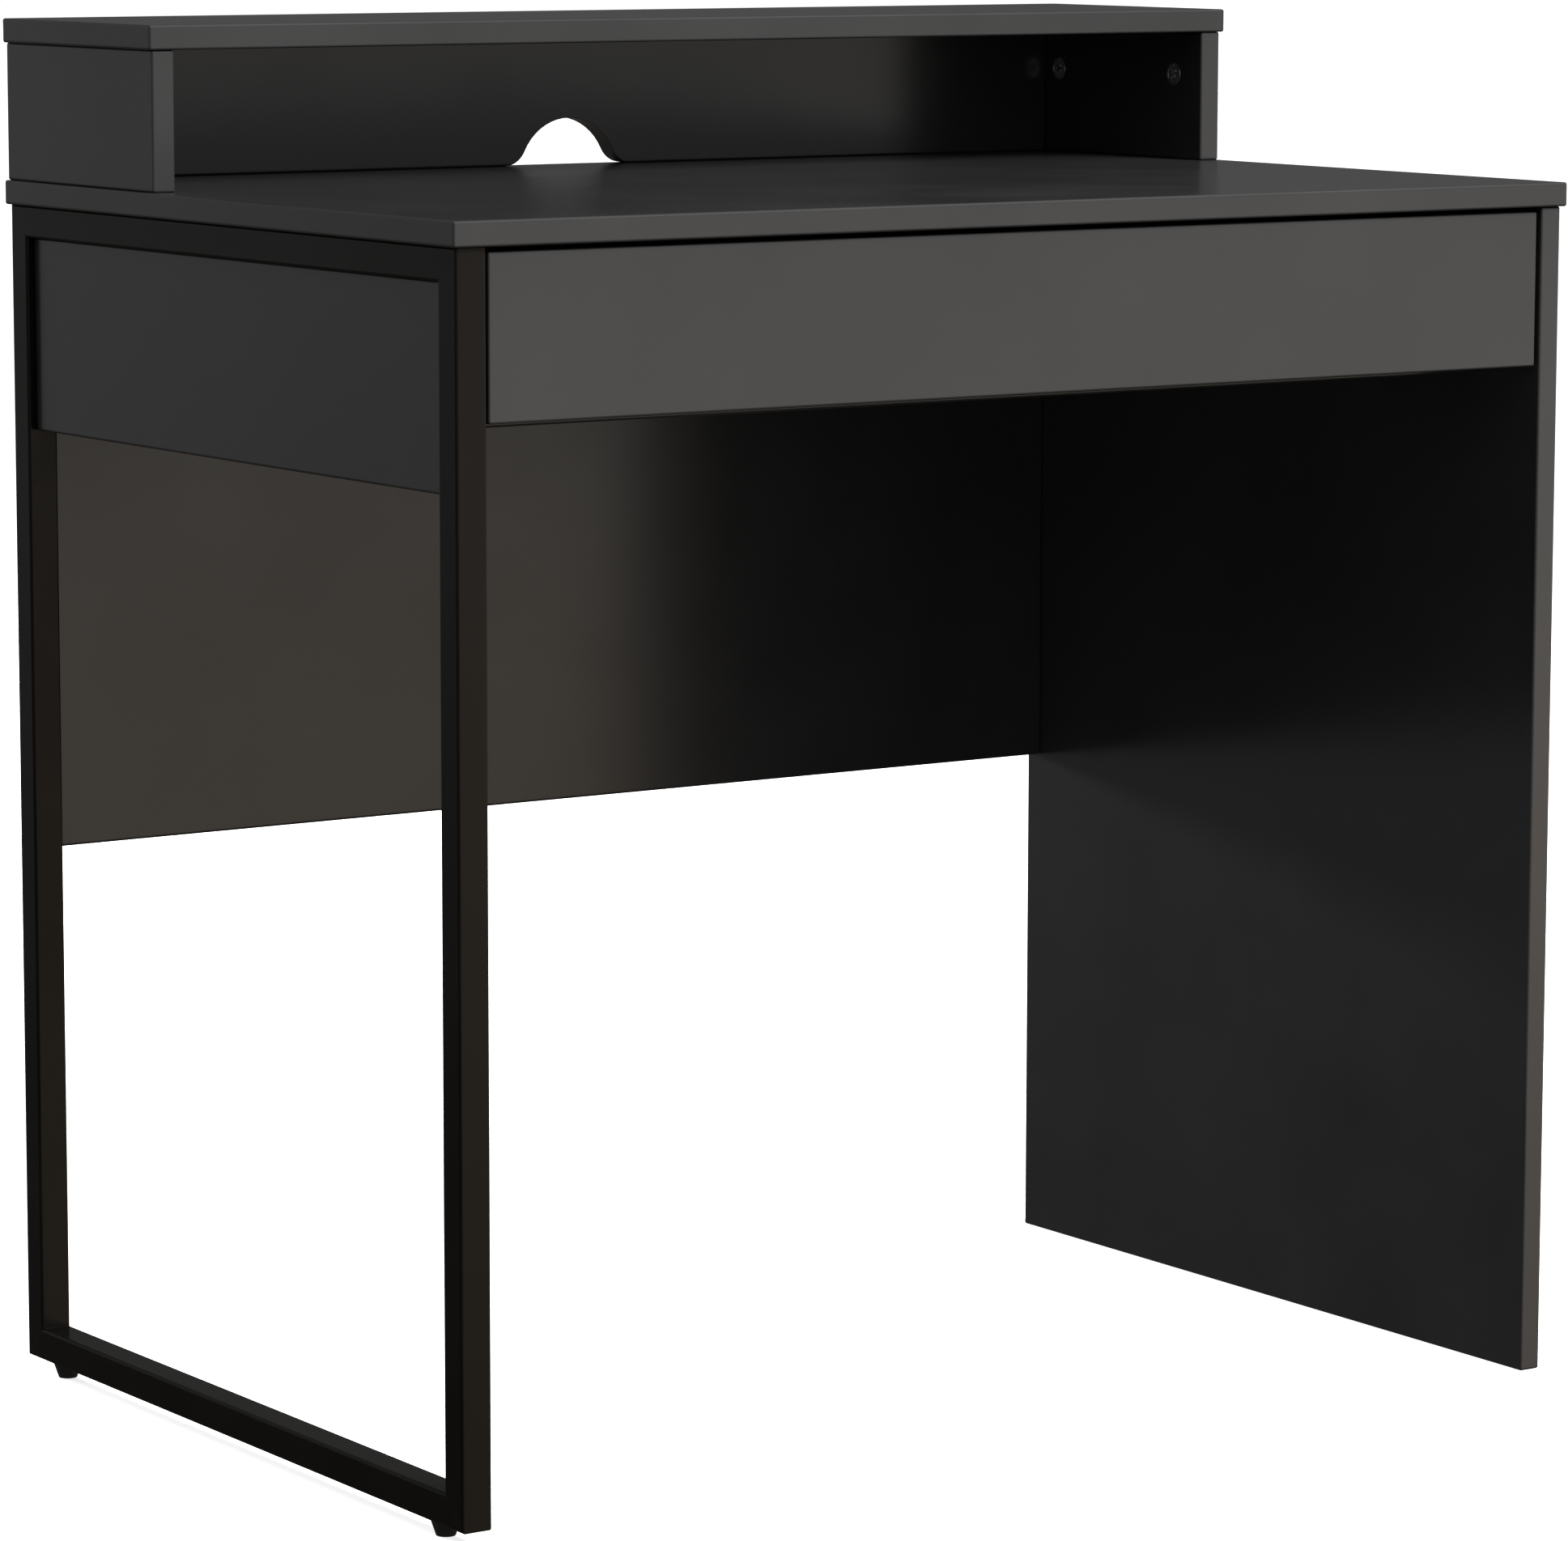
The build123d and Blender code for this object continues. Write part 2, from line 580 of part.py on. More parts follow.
def rivet(member, group, axle, out, span, head):
    """A headed axle riveted into its member's web."""
    pin = rod(axle + out * span[0], out, rivet_radius, span[1] - span[0])
    holes[member].append(pin)
    hardware[group].append(pin + rod(axle + out * head, out, rivet_head_radius, rivet_head))


# ---- assembly ---------------------------------------------------------------------------------------
def write_parts():
    os.makedirs("parts", exist_ok=True)
    for name, solid in boards.items():
        for hole in holes[name]:
            solid -= hole
        export_step(solid, f"parts/{name}.step")
    for name, pieces in hardware.items():
        export_step(Compound(pieces), f"parts/{name}.step")


carcass_boards()
hutch()
frame()
carcass_joints()
frame_fittings()
drawer_box()
runner_pair("left", frame_inner, 1)
runner_pair("right", right_inner, -1)
write_parts()
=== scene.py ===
# %% [markdown]
# # A writing desk in anthracite board and black tube
#
# This lesson dresses a finished mechanical model of a desk. The boards, tubes, runners and
# fittings come in as fixed meshes, at their real size and place. What is left to make here is
# the look: the finishes, two small pieces that a draughtsman leaves out, which are the weld
# beads and the turned, cast faces of the cam locks, and a plain studio to see it all in.

import json
import math

import bmesh
import bpy
from mathutils import Matrix, Vector


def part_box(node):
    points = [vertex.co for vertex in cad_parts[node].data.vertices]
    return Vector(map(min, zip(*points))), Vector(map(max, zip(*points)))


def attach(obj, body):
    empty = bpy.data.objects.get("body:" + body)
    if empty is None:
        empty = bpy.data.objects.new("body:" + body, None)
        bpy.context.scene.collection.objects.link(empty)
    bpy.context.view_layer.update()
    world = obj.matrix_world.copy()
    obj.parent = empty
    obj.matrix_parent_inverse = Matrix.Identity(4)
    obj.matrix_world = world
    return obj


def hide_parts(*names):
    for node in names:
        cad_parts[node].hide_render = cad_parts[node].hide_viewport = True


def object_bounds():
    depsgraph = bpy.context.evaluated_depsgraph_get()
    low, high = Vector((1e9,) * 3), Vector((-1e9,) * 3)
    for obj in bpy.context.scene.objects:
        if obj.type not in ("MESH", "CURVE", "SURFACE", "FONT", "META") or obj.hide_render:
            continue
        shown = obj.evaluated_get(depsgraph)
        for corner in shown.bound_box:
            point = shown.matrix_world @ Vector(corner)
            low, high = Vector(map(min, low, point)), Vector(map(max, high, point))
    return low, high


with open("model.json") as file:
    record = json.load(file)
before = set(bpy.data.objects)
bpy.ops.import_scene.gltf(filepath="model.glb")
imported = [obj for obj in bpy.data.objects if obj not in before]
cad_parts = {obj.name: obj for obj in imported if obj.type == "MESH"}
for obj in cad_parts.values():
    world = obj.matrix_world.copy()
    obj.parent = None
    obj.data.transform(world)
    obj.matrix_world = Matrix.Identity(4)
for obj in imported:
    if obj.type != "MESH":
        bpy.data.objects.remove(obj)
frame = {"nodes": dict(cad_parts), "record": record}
cad_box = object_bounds()
nodes = frame["nodes"]
MM = 0.001

# %% [markdown]
# ## A small kit for finishes
#
# Every finish below is a node tree around one Principled shader. Writing the links out each
# time would bury what matters, so three helpers do the wiring: one starts a finish, one adds a
# noise that reads the object's own coordinates in metres, and one squeezes a noise into the
# narrow band of values that a real surface wanders in. Object coordinates are used because the
# boards have no unwrapped map, and because they keep every grain at its true size.

# %% Helpers for finishes
def new_finish(name, colour, roughness, metallic=0.0):
    """A material with its plain values set on the shader itself."""
    material = bpy.data.materials.new(name)
    material.use_nodes = True
    shader = material.node_tree.nodes["Principled BSDF"]
    shader.inputs["Base Color"].default_value = (*colour, 1)
    shader.inputs["Roughness"].default_value = roughness
    shader.inputs["Metallic"].default_value = metallic
    return material, shader


def noise(material, per_metre, detail=2.0, stretch=(1, 1, 1)):
    """A noise whose grains are 1 / per_metre across, longer where stretch is under 1."""
    tree = material.node_tree
    coordinates = tree.nodes.new("ShaderNodeTexCoord")
    mapping = tree.nodes.new("ShaderNodeMapping")
    mapping.inputs["Scale"].default_value = stretch
    texture = tree.nodes.new("ShaderNodeTexNoise")
    texture.inputs["Scale"].default_value = per_metre
    texture.inputs["Detail"].default_value = detail
    tree.links.new(coordinates.outputs["Object"], mapping.inputs["Vector"])
    tree.links.new(mapping.outputs["Vector"], texture.inputs["Vector"])
    return texture.outputs["Fac"]


def band(material, source, low, high, start=0.3, end=0.7):
    """Squeezes a 0 to 1 signal into the range low to high."""
    spread = material.node_tree.nodes.new("ShaderNodeMapRange")
    spread.inputs["From Min"].default_value = start
    spread.inputs["From Max"].default_value = end
    spread.inputs["To Min"].default_value = low
    spread.inputs["To Max"].default_value = high
    material.node_tree.links.new(source, spread.inputs["Value"])
    return spread.outputs["Result"]


def tint(material, shader, source, dark, light):
    """Lets the base colour wander between two close tones."""
    tree = material.node_tree
    ramp = tree.nodes.new("ShaderNodeValToRGB")
    ramp.color_ramp.elements[0].position = 0.3
    ramp.color_ramp.elements[0].color = (*dark, 1)
    ramp.color_ramp.elements[1].position = 0.7
    ramp.color_ramp.elements[1].color = (*light, 1)
    tree.links.new(source, ramp.inputs["Fac"])
    tree.links.new(ramp.outputs["Color"], shader.inputs["Base Color"])


def relief(material, shader, source, height, strength=1.0):
    """A bump of the given height in metres."""
    tree = material.node_tree
    bump = tree.nodes.new("ShaderNodeBump")
    bump.inputs["Strength"].default_value = strength
    bump.inputs["Distance"].default_value = height
    tree.links.new(source, bump.inputs["Height"])
    tree.links.new(bump.outputs["Normal"], shader.inputs["Normal"])
    return bump


def arris(material, radius):
    """A signal that is 1 along a piece's edges, and the normal that rounds them."""
    tree = material.node_tree
    rounded = tree.nodes.new("ShaderNodeBevel")
    rounded.samples = 4
    rounded.inputs["Radius"].default_value = radius
    flat = tree.nodes.new("ShaderNodeNewGeometry")
    turn = tree.nodes.new("ShaderNodeVectorMath")
    turn.operation = "DOT_PRODUCT"
    tree.links.new(rounded.outputs["Normal"], turn.inputs[0])
    tree.links.new(flat.outputs["Normal"], turn.inputs[1])
    return band(material, turn.outputs["Value"], 1, 0, 0.9, 0.995), rounded.outputs["Normal"]


def wear(material, shader, edges, colour, rubbed):
    """Rubs the edges towards a second colour, in patches, by up to the rubbed share."""
    tree = material.node_tree
    patches = band(material, noise(material, 45, detail=4), 0.3 * rubbed, rubbed, 0.35, 0.65)
    amount = tree.nodes.new("ShaderNodeMath")
    amount.operation = "MULTIPLY"
    mix = tree.nodes.new("ShaderNodeMix")
    mix.data_type = "RGBA"
    mix.inputs[7].default_value = (*colour, 1)
    tree.links.new(edges, amount.inputs[0])
    tree.links.new(patches, amount.inputs[1])
    tree.links.new(amount.outputs["Value"], mix.inputs[0])
    tree.links.new(shader.inputs["Base Color"].links[0].from_socket, mix.inputs[6])
    tree.links.new(mix.outputs[2], shader.inputs["Base Color"])


print("finish helpers ready")

# %% [markdown]
# ## Melamine-faced board
#
# The boards are chipboard with a printed, resin-soaked paper pressed on. In anthracite that
# paper is nearly black, and much of what the eye sees is the sheen of the resin. So the base
# colour is very dark and the roughness is that of satin, with a fine stipple that the press
# plate leaves: a bump noise with grains about a millimetre across. A slower noise moves the
# roughness a little, as handling and wiping do. The edges are taped, and the tape's arris is
# scraped and rubbed paler, so a third signal finds the edges and lightens them in patches.

# %% Board finish
def board_finish(name, colour, roughness=0.21):
    material, shader = new_finish(name, colour, roughness)
    cloud = noise(material, 9, detail=3)
    dark = [0.88 * c for c in colour]
    light = [1.12 * c for c in colour]
    tint(material, shader, cloud, dark, light)
    links = material.node_tree.links
    links.new(band(material, cloud, roughness - 0.02, roughness + 0.03), shader.inputs["Roughness"])
    stipple = noise(material, 900, detail=2)
    edges, rounded = arris(material, 0.8 * MM)
    links.new(rounded, relief(material, shader, stipple, 0.03 * MM, 0.25).inputs["Normal"])
    wear(material, shader, edges, (0.09, 0.09, 0.088), 0.4)
    return material


ANTHRACITE = (0.017, 0.017, 0.0172)
outer_board = board_finish("anthracite_board", ANTHRACITE)
inner_board = board_finish("drawer_board", (0.02, 0.02, 0.0205), roughness=0.3)
print("board finishes made")

# %% [markdown]
# ## Powder coat, plastics and metals
#
# The frame's powder coat has a low orange-peel: soft swellings about a millimetre across, left
# where the powder melted together. The runners wear the same kind of coat in white. Feet are
# moulded plastic with a spark-eroded grain, fittings are dull zinc castings, and screws are
# bright zinc plate with fine lines from being turned.

# %% Other finishes
def powder_coat(name, colour, roughness):
    material, shader = new_finish(name, colour, roughness)
    links = material.node_tree.links
    peel = noise(material, 700, detail=1)
    edges, rounded = arris(material, 0.6 * MM)
    links.new(rounded, relief(material, shader, peel, 0.05 * MM, 0.35).inputs["Normal"])
    haze = noise(material, 14, detail=3)
    links.new(band(material, haze, roughness - 0.04, roughness + 0.06), shader.inputs["Roughness"])
    tint(material, shader, haze, [0.85 * c for c in colour], [1.15 * c for c in colour])
    wear(material, shader, edges, [1.6 * c + 0.01 for c in colour], 0.6)
    shader.inputs["Specular IOR Level"].default_value = 0.15
    shader.inputs["Specular Tint"].default_value = (1, 0.95, 0.9, 1)
    return material


def moulded_plastic(name, colour, roughness):
    material, shader = new_finish(name, colour, roughness)
    grain = noise(material, 2500, detail=2)
    relief(material, shader, grain, 0.03 * MM, 0.5)
    links = material.node_tree.links
    links.new(band(material, grain, roughness - 0.05, roughness + 0.08), shader.inputs["Roughness"])
    tint(material, shader, noise(material, 60), [0.9 * c for c in colour], [1.1 * c for c in colour])
    return material


def plated_metal(name, colour, roughness, stretch=(1, 1, 1)):
    material, shader = new_finish(name, colour, roughness, metallic=1.0)
    lines = noise(material, 1800, detail=3, stretch=stretch)
    relief(material, shader, lines, 0.01 * MM, 0.4)
    links = material.node_tree.links
    links.new(band(material, lines, roughness - 0.08, roughness + 0.12), shader.inputs["Roughness"])
    patches = noise(material, 120, detail=3)
    tint(material, shader, patches, [0.8 * c for c in colour], colour)
    return material


def dowel_beech(name, colour):
    material, shader = new_finish(name, colour, 0.6)
    grain = noise(material, 500, detail=4, stretch=(1, 1, 0.1))
    tint(material, shader, grain, [0.7 * c for c in colour], colour)
    relief(material, shader, grain, 0.1 * MM, 0.6)
    return material


def hardboard(name, colour):
    material, shader = new_finish(name, colour, 0.5)
    fibres = noise(material, 350, detail=5, stretch=(1, 0.4, 1))
    tint(material, shader, fibres, [0.75 * c for c in colour], [1.2 * c for c in colour])
    relief(material, shader, fibres, 0.05 * MM, 0.4)
    return material


finishes = {
    "board": outer_board,
    "drawer_board": inner_board,
    "hardboard": hardboard("drawer_hardboard", (0.03, 0.029, 0.028)),
    "frame_coat": powder_coat("black_powder_coat", (0.0033, 0.0029, 0.0025), 0.22),
    "foot_plastic": moulded_plastic("black_foot_plastic", (0.012, 0.012, 0.012), 0.5),
    "zinc_steel": plated_metal("zinc_plate", (0.62, 0.62, 0.6), 0.3),
    "cam_metal": plated_metal("cast_zinc", (0.62, 0.62, 0.61), 0.2),
    "dowel_wood": dowel_beech("beech_dowel", (0.55, 0.4, 0.24)),
    "runner_steel": powder_coat("white_runner_coat", (0.7, 0.7, 0.67), 0.35),
    "roller_nylon": moulded_plastic("natural_nylon", (0.75, 0.73, 0.68), 0.4),
}
slots = {entry["node"]: entry["material_slot"] for entry in frame["record"]["subparts"]}
for name, piece in nodes.items():
    piece.data.materials.clear()
    piece.data.materials.append(finishes[slots[name]])
print(len(finishes), "finishes on", len(nodes), "pieces")

# %% [markdown]
# ## Cam locks, turned and cast
#
# The frame's cams stand at their loose position, with smooth faces. Real ones are turned to pull
# the joint tight, which leaves the cross slot on the skew, and their zinc is cast with a low
# ring, a pointer and softened edges that catch the light. The hutch's four cams face into its
# open bay, so they are copied, turned by an eighth of a circle and given that casting detail.
# The copies stand for the originals. Modelling them from nothing would only repeat what is
# there. The desk's other cams stay as the frame has them.

# %% Cam casting detail
CAM_TURN = math.radians(45)
RING_RADIUS = 6.5 * MM
RING_WIDTH = 0.5 * MM
RING_POINTS = 48
POINTER_WIDTH = 0.45 * MM
POINTER_CORNERS = ((-0.8, 4.6), (0, 6.0), (0.8, 4.6))  # millimetres from the cam's centre
CASTING_HEIGHT = 0.14 * MM
LOOP_PROFILE = ((-0.5, -0.5), (-0.5, 0.2), (-0.25, 1), (0.25, 1), (0.5, 0.2), (0.5, -0.5))


def islands(mesh):
    """The separate solids of a mesh, each as a list of its vertices, in a fixed order."""
    seen, found = set(), []
    for first in mesh.verts:
        if first in seen:
            continue
        seen.add(first)
        island, frontier = [], [first]
        while frontier:
            vertex = frontier.pop()
            island.append(vertex)
            for link in vertex.link_edges:
                beside = link.other_vert(vertex)
                if beside not in seen:
                    seen.add(beside)
                    frontier.append(beside)
        found.append(island)
    return found


def join_rings(mesh, ring, following):
    """One band of faces between two rings of as many points."""
    count = len(ring)
    for j in range(count):
        beside = (j + 1) % count
        mesh.faces.new((ring[j], ring[beside], following[beside], following[j]))


def raised_loop(mesh, place, outline, width, height):
    """A closed ridge along an outline in a face's plane; its profile is in widths and heights."""
    rings = []
    for i, point in enumerate(outline):
        along = (outline[(i + 1) % len(outline)] - outline[i - 1]).normalized()
        across = Vector((-along.y, along.x, 0)) * width
        ring = [point + across * a + Vector((0, 0, height * b)) for a, b in LOOP_PROFILE]
        rings.append([mesh.verts.new(place @ spot) for spot in ring])
    for ring, following in zip(rings, rings[1:] + rings[:1]):
        join_rings(mesh, ring, following)


def cast_face(mesh, island):
    """Turns one cam about its own axis and gives its outer face a ring and a pointer."""
    low = Vector([min(v.co[k] for v in island) for k in range(3)])
    high = Vector([max(v.co[k] for v in island) for k in range(3)])
    centre = (low + high) / 2
    face_side = -1 if centre.x > 0 else 1
    to_centre = Matrix.Translation(centre)
    turn = to_centre @ Matrix.Rotation(CAM_TURN, 4, "X") @ to_centre.inverted()
    bmesh.ops.transform(mesh, matrix=turn, verts=island)
    out, up = Vector((face_side, 0, 0)), Vector((0, 0, 1))
    place = Matrix((up.cross(out), up, out)).transposed().to_4x4()
    place.translation = (high.x if face_side > 0 else low.x, centre.y, centre.z)
    angles = [2 * math.pi * i / RING_POINTS for i in range(RING_POINTS)]
    ring = [Vector((RING_RADIUS * math.cos(a), RING_RADIUS * math.sin(a), 0)) for a in angles]
    raised_loop(mesh, place, ring, RING_WIDTH, CASTING_HEIGHT)
    pointer = [Vector((x * MM, y * MM, 0)) for x, y in POINTER_CORNERS]
    raised_loop(mesh, place, pointer, POINTER_WIDTH, CASTING_HEIGHT)
    return round(place.translation.x / MM, 1)


print("casting", round(CASTING_HEIGHT / MM, 2), "mm high")

# %% [markdown]
# ### The turned copies
#
# The frame keeps all four cams in one mesh, so the copy is first split into its solids. Points
# that lie on one another are merged before that, or each face would count as a solid. A narrow
# bevel on every sharp edge then gives the softness of a casting.

# %% Hutch cams
turned = nodes["hutch_cams"].copy()
turned.data = nodes["hutch_cams"].data.copy()
turned.name = "turned_cams"
bpy.context.collection.objects.link(turned)
casting = bmesh.new()
casting.from_mesh(turned.data)
bmesh.ops.remove_doubles(casting, verts=casting.verts[:], dist=0.001 * MM)
face_places = [cast_face(casting, island) for island in islands(casting)]
bmesh.ops.recalc_face_normals(casting, faces=casting.faces[:])
casting.to_mesh(turned.data)
casting.free()
softened = turned.modifiers.new("soft_edges", "BEVEL")
softened.width = 0.15 * MM
softened.segments = 2
softened.limit_method = "ANGLE"
softened.angle_limit = math.radians(50)
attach(turned, "desk")
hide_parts("hutch_cams")
print("cam faces at x =", sorted(face_places), "mm")

# %% [markdown]
# ## Weld beads
#
# The frame's tubes are mitred and welded. Outside, the weld is ground flush before coating. In
# the inner corners a grinder can't reach, so a small fillet stays, rippled by the welder's
# steps, and it shows as a thin bright line. Each bead is swept along the corner as rings of
# points whose radius swells and shrinks once per step. The two upper corners are filled by the
# short board, so only the two lower ones get a bead.

# %% Weld beads
BEAD_RADIUS = 1.7 * MM
BEAD_STEP = 2.2 * MM           # one move of the welder's hand
BEAD_END_GAP = 1.6 * MM        # bead's end to the tube's side face
BEAD_RIPPLE = 0.06             # share of the radius
BEAD_END_TAPER = 0.35          # share of the radius lost at each end
BEAD_HOLLOW = 0.2              # how far the face sinks between the two walls
BEAD_ROOT = 0.1 * MM           # how far the bead bites into the corner
RINGS_PER_STEP = 8
ARC_POINTS = 7


def weld_bead(mesh, start, end, corner, away):
    """A rippled fillet along X, in the corner of a face square to Y and one square to Z."""
    count = int((end - start) / (BEAD_STEP / RINGS_PER_STEP))
    rings = []
    for i in range(count + 1):
        share = i / count
        x = start + (end - start) * share
        ripple = BEAD_RIPPLE * math.sin(2 * math.pi * (x - start) / BEAD_STEP)
        swell = 1 + ripple - BEAD_END_TAPER * abs(2 * share - 1) ** 8
        root = (x, corner.y - BEAD_ROOT * away.y, corner.z - BEAD_ROOT * away.z)
        ring = [mesh.verts.new(root)]
        for j in range(ARC_POINTS):
            turn = math.pi / 2 * j / (ARC_POINTS - 1)
            reach = BEAD_RADIUS * swell * (1 - BEAD_HOLLOW * math.sin(2 * turn))
            y = corner.y + away.y * reach * math.cos(turn)
            z = corner.z + away.z * reach * math.sin(turn)
            ring.append(mesh.verts.new((x, y, z)))
        rings.append(ring)
    for ring, following in zip(rings, rings[1:]):
        join_rings(mesh, ring, following)
    mesh.faces.new(rings[0])
    mesh.faces.new(rings[-1][::-1])


tube_low, tube_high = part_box("frame_bottom_tube")
front_leg_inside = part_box("frame_leg_front")[1][1]
back_leg_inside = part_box("frame_leg_back")[0][1]
beads = bmesh.new()
for inside, away_y in ((front_leg_inside, 1), (back_leg_inside, -1)):
    corner = Vector((0, inside, tube_high[2]))
    away = Vector((0, away_y, 1))
    weld_bead(beads, tube_low[0] + BEAD_END_GAP, tube_high[0] - BEAD_END_GAP, corner, away)
bmesh.ops.recalc_face_normals(beads, faces=beads.faces[:])
bead_mesh = bpy.data.meshes.new("weld_beads")
beads.to_mesh(bead_mesh)
beads.free()
for polygon in bead_mesh.polygons:
    polygon.use_smooth = True
bead_mesh.materials.append(finishes["frame_coat"])
weld_beads = bpy.data.objects.new("weld_beads", bead_mesh)
bpy.context.collection.objects.link(weld_beads)
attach(weld_beads, "desk")
print("weld beads of", len(bead_mesh.vertices), "points")

# %% [markdown]
# ## The studio
#
# Black satin board shows what it reflects as much as what falls on it, so the room is built
# for its reflections too. A large soft box in front and above gives the fronts their even
# light. The room does the rest: a pale ceiling, dim walls that keep the side faces dark, and a
# broad glow low on the sitter's right, which every front board mirrors towards the camera. The
# glow is pale near the horizon and turns brown below it, so the drawer front stays neutral and
# the legs go warm towards the floor. A little light comes back up, as it would from a pale
# floor, and opens the shade under the desk. Eyes that look past the desk see plain white.

# %% Studio room
LEFT_WALL = (0.28, 0.28, 0.283)
RIGHT_WALL = (0.1, 0.1, 0.1)
LOW_WALL = (0.11, 0.11, 0.11)
DEEP_WALL = (0.06, 0.055, 0.046)
CEILING = (1.15, 1.15, 1.15)
PALE_GLOW = (1.56, 1.53, 1.47)
WARM_GLOW = (1.1, 0.88, 0.66)
FLOOR_BOUNCE = (0.32, 0.32, 0.32)
GLOW_SIDE = (0.68, -0.73, 0)
CEILING_SIDE = (0.1, -0.6, 0.79)

world = bpy.data.worlds.new("studio")
bpy.context.scene.world = world
world.use_nodes = True
tree = world.node_tree
links = tree.links
direction = tree.nodes.new("ShaderNodeTexCoord").outputs["Generated"]


def fade(signal, start, end):
    """0 at start, 1 at end, with a soft S between them."""
    ramp = tree.nodes.new("ShaderNodeMapRange")
    ramp.interpolation_type = "SMOOTHSTEP"
    ramp.inputs["From Min"].default_value = start
    ramp.inputs["From Max"].default_value = end
    links.new(signal, ramp.inputs["Value"])
    return ramp.outputs["Result"]


def times(first, second):
    product = tree.nodes.new("ShaderNodeMath")
    product.operation = "MULTIPLY"
    links.new(first, product.inputs[0])
    links.new(second, product.inputs[1])
    return product.outputs["Value"]


def facing(side):
    """1 where the room lies towards a side, 0 square to it."""
    dot = tree.nodes.new("ShaderNodeVectorMath")
    dot.operation = "DOT_PRODUCT"
    dot.inputs[1].default_value = side
    links.new(direction, dot.inputs[0])
    return dot.outputs["Value"]


def blend_towards(below, above, amount):
    """Mixes a plain colour, or another signal, over what the room shows so far."""
    mix = tree.nodes.new("ShaderNodeMix")
    mix.data_type = "RGBA"
    links.new(below, mix.inputs[6])
    if isinstance(above, tuple):
        mix.inputs[7].default_value = (*above, 1)
    else:
        links.new(above, mix.inputs[7])
    links.new(amount, mix.inputs[0])
    return mix.outputs[2]


split = tree.nodes.new("ShaderNodeSeparateXYZ")
links.new(direction, split.inputs["Vector"])
height = split.outputs["Z"]
side_wall = tree.nodes.new("ShaderNodeRGB")
side_wall.outputs["Color"].default_value = (*LEFT_WALL, 1)
walls = blend_towards(side_wall.outputs["Color"], RIGHT_WALL, fade(split.outputs["X"], -0.4, 0.2))
walls = blend_towards(walls, LOW_WALL, fade(height, -0.08, -0.18))
walls = blend_towards(walls, DEEP_WALL, fade(height, -0.14, -0.26))
glow_heights = times(fade(height, 0.03, -0.12), fade(height, -0.36, -0.16))
glow = times(fade(facing(GLOW_SIDE), 0.35, 0.9), glow_heights)
glow_tone = tree.nodes.new("ShaderNodeRGB")
glow_tone.outputs["Color"].default_value = (*PALE_GLOW, 1)
glow_tone = blend_towards(glow_tone.outputs["Color"], WARM_GLOW, fade(height, -0.07, -0.15))
walls = blend_towards(walls, glow_tone, glow)
room_colour = blend_towards(walls, CEILING, fade(facing(CEILING_SIDE), 0.45, 0.9))
ray = tree.nodes.new("ShaderNodeLightPath")
bounce = times(ray.outputs["Is Diffuse Ray"], fade(height, 0.02, -0.3))
room_colour = blend_towards(room_colour, FLOOR_BOUNCE, bounce)
room = tree.nodes["Background"]
links.new(room_colour, room.inputs["Color"])

backdrop = tree.nodes.new("ShaderNodeBackground")
backdrop.inputs["Color"].default_value = (1, 1, 1, 1)
choice = tree.nodes.new("ShaderNodeMixShader")
links.new(ray.outputs["Is Camera Ray"], choice.inputs["Fac"])
links.new(room.outputs["Background"], choice.inputs[1])
links.new(backdrop.outputs["Background"], choice.inputs[2])
links.new(choice.outputs["Shader"], tree.nodes["World Output"].inputs["Surface"])
bpy.context.scene.view_settings.view_transform = "Standard"
print("room made of", len(tree.nodes), "nodes")

# %% [markdown]
# ## Two soft boxes
#
# The key hangs in front and above. Its height decides how far the light reaches in under the
# hutch: much lower and it would wash out the dark foot of the bay. A weaker strip stands behind
# the desk at the height of its top, so that the back and its fittings can be read while the tops
# are hardly lit by it. Neither shows up as a patch in the boards' sheen.

# %% Soft boxes
middle = (cad_box[0] + cad_box[1]) / 2


def soft_box(name, place, width, height, watts):
    light = bpy.data.lights.new(name, "AREA")
    light.shape = "RECTANGLE"
    light.size, light.size_y = width, height
    light.energy = watts
    lamp = bpy.data.objects.new(name, light)
    lamp.location = middle + Vector(place)
    lamp.rotation_euler = (middle - lamp.location).to_track_quat("-Z", "Y").to_euler()
    lamp.visible_glossy = False
    bpy.context.collection.objects.link(lamp)
    print(name, watts, "watts,", round(lamp.location.z, 2), "metres up")


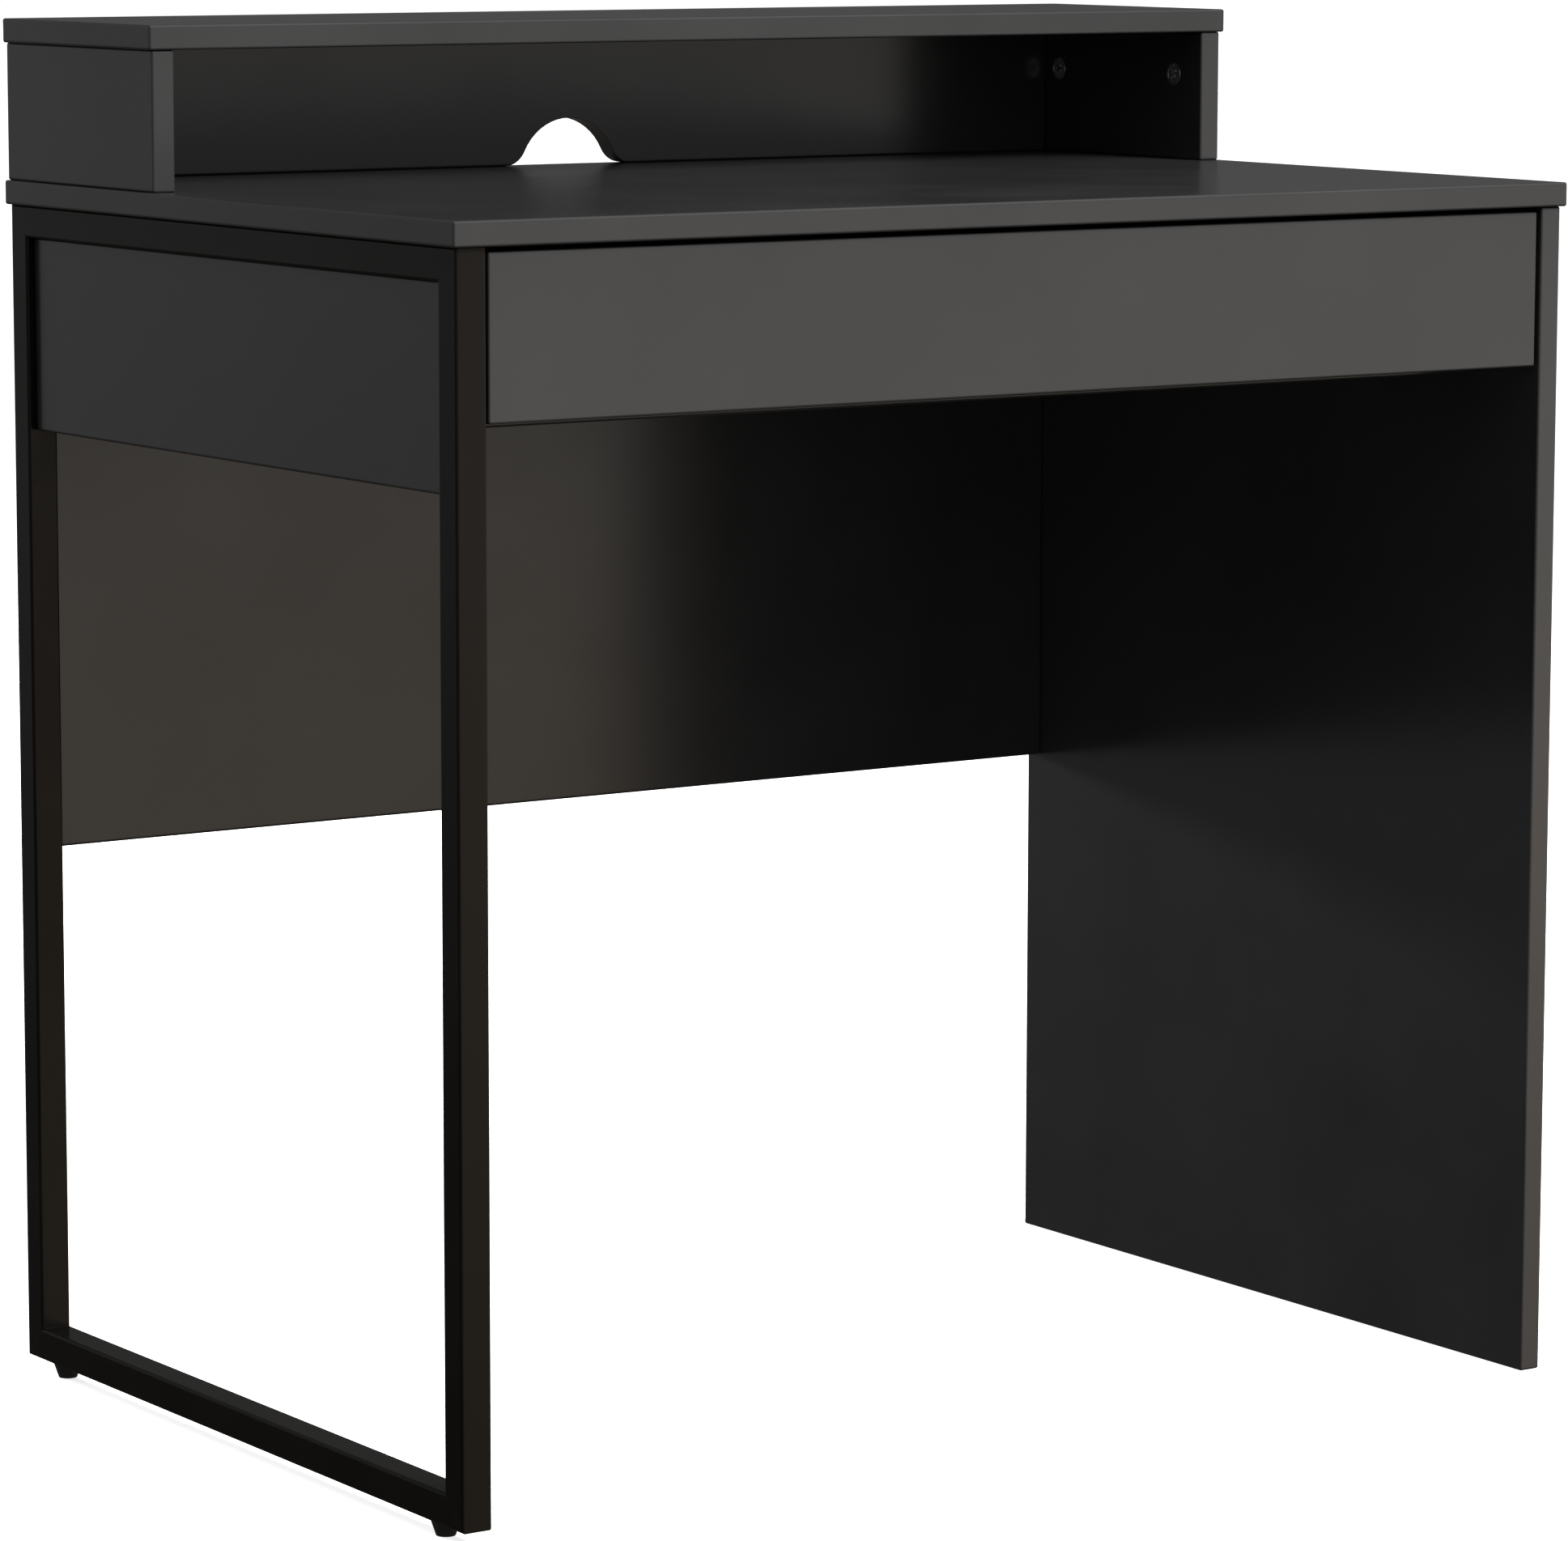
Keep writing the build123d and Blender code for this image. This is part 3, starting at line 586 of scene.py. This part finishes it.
soft_box("front_soft_box", (1.2, -3.3, 2.9), 1.8, 1.2, 500)
soft_box("rear_strip", (-0.8, 3.9, 0.45), 3.0, 0.5, 220)

# %% [markdown]
# ## The floor
#
# A pale, matt studio floor. It reaches far enough that its edge never shows, and a little light
# of its own brings it up to the backdrop's white, so the desk seems to stand in an empty white
# room. The boards would mirror it as a bright sheet right up to their feet, so it is kept out
# of their reflections: they see the dim walls and the glow go on below the horizon instead. It
# is kept out of the bounced light too, which the room's own floor bounce stands for.

# %% Floor
bpy.ops.mesh.primitive_plane_add(size=60, location=(0, 0, 0))
floor = bpy.context.object
floor.name = "studio_floor"
floor_paint, floor_shader = new_finish("pale_floor", (0.9, 0.9, 0.9), 0.9)
floor_shader.inputs["Specular IOR Level"].default_value = 0.1
floor_shader.inputs["Emission Color"].default_value = (1, 1, 1, 1)
floor_shader.inputs["Emission Strength"].default_value = 0.72
floor.data.materials.append(floor_paint)
floor.visible_glossy = False
floor.visible_diffuse = False
print("floor", round(floor.dimensions.x), "metres wide")

# %% [markdown]
# ## The camera
#
# A long lens from the sitter's left, a little above the desktop. The distance is what gives the
# right rate of taper towards the back, and the lens then sets how much of the frame the desk
# fills.

# %% Camera
LENS = 146.9
CAMERA_PLACE = (-2.2383, -3.3102, 0.957)
AZIMUTH = math.radians(34.05)  # from straight ahead towards the right
FALL = math.radians(8.13)      # below level
ROLL = math.radians(0.1)

lens = bpy.data.cameras.new("camera")
lens.lens = LENS
camera = bpy.data.objects.new("camera", lens)
ahead = Vector((math.sin(AZIMUTH), math.cos(AZIMUTH), 0)) * math.cos(FALL)
look = ahead - Vector((0, 0, math.sin(FALL)))
camera.location = CAMERA_PLACE
camera.rotation_mode = "QUATERNION"
tilt = Matrix.Rotation(ROLL, 3, "Z").to_quaternion()
camera.rotation_quaternion = look.to_track_quat("-Z", "Y") @ tilt
bpy.context.collection.objects.link(camera)
bpy.context.scene.camera = camera
print("camera", round(camera.location.length, 2), "metres away, lens", round(lens.lens), "mm")
